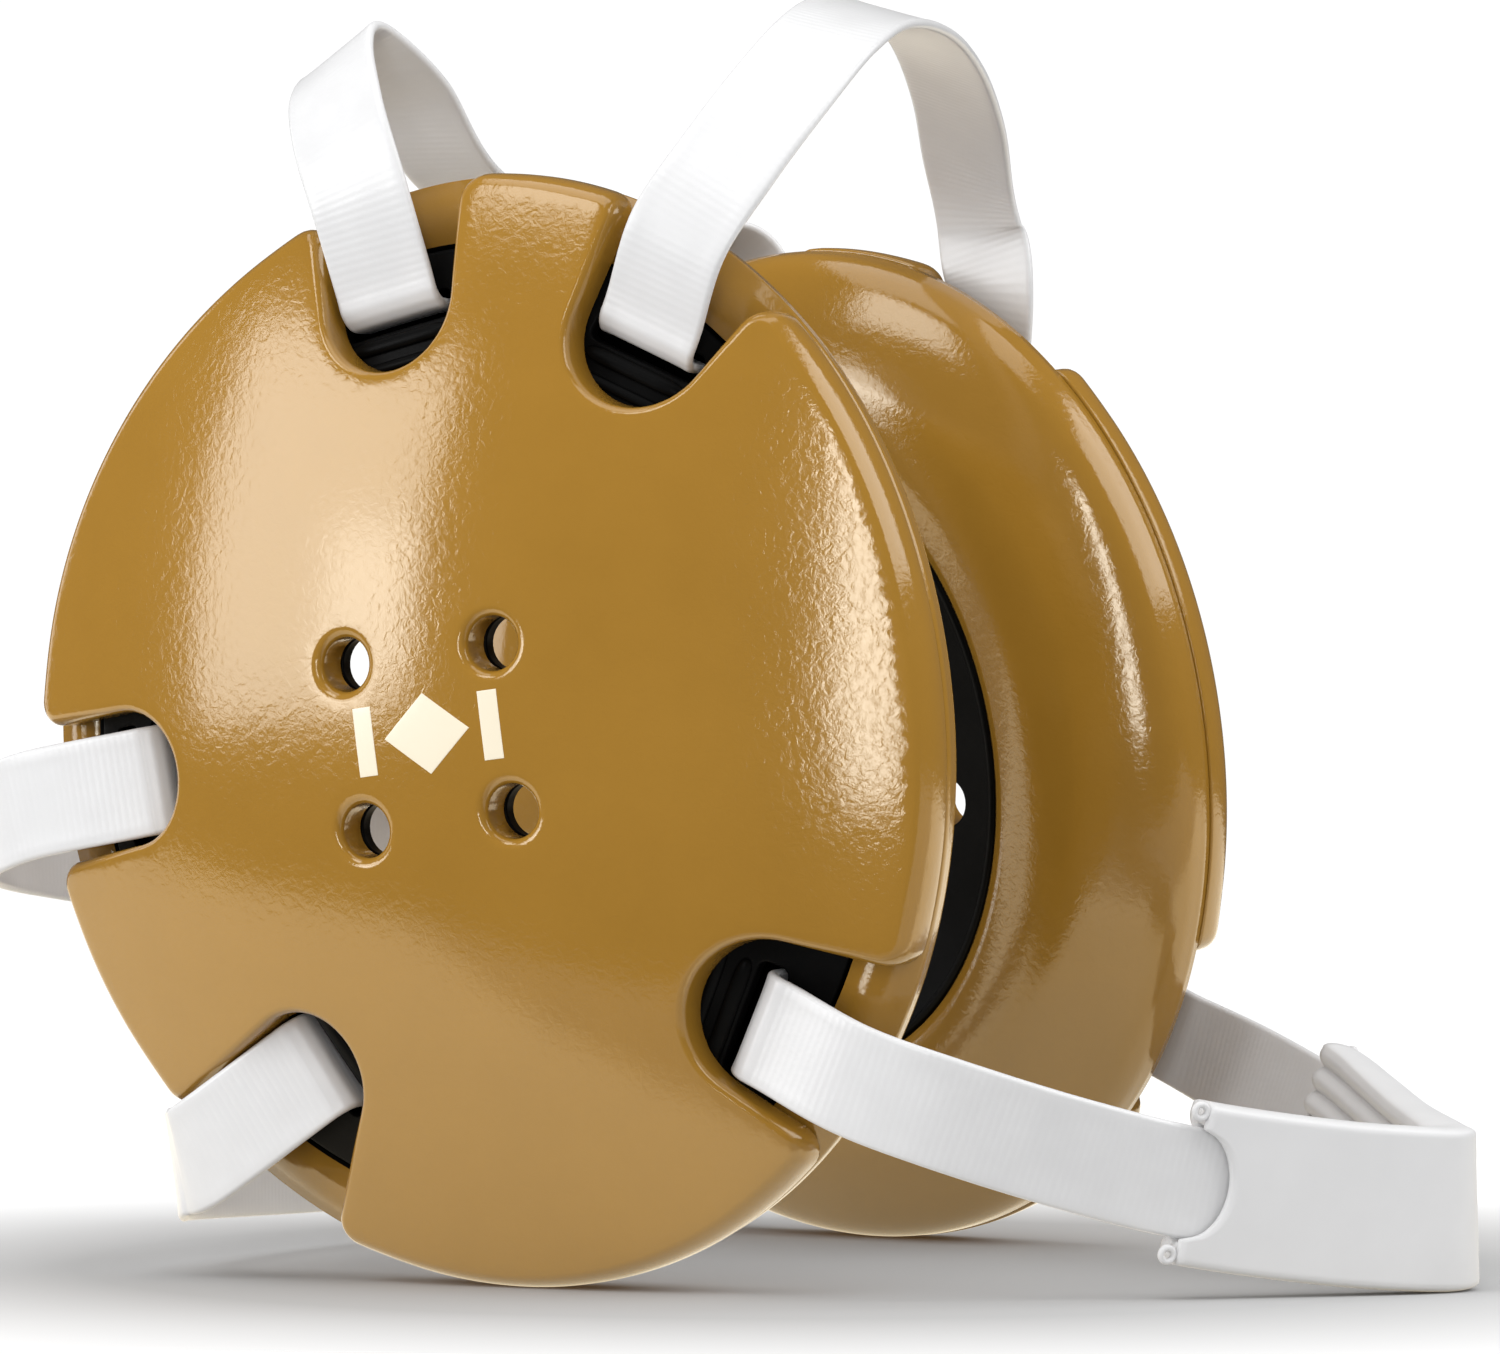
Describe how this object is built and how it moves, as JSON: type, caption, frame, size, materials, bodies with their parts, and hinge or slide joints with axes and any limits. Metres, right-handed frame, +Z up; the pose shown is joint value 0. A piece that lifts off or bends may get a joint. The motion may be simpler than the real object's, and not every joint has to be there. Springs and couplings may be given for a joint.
{
  "type": "wrestling ear guard",
  "caption": "Wrestling ear guard with gold padded ear cups, ear cushions, white webbing straps over the crown, behind the head and under the chin, and a soft chin cup, standing on its rims.",
  "frame": {"origin": "middle of the headgear's footprint, on the floor that it stands on", "axes": "+X to the wearer's front, where the chin cup lies; +Y to the wearer's left; +Z up"},
  "size_m": [0.2107, 0.1562, 0.1772],
  "materials": {
    "gold": "glossy vinyl skin on foam",
    "black": "satin moulded plastic",
    "webbing": "vinyl-coated webbing with a soft gloss",
    "chin": "matte soft moulding"
  },
  "bodies": {
    "root": {"outer_pad_right": "gold", "outer_pad_left": "gold", "ear_cup_right": "black", "ear_cup_left": "black", "cushion_ring_right": "gold", "cushion_ring_left": "gold", "crown_strap_front": "webbing", "crown_strap_rear": "webbing", "back_strap_upper": "webbing", "back_strap_lower": "webbing", "chin_strap": "webbing", "chin_cup": "chin"}
  },
  "joints": []
}
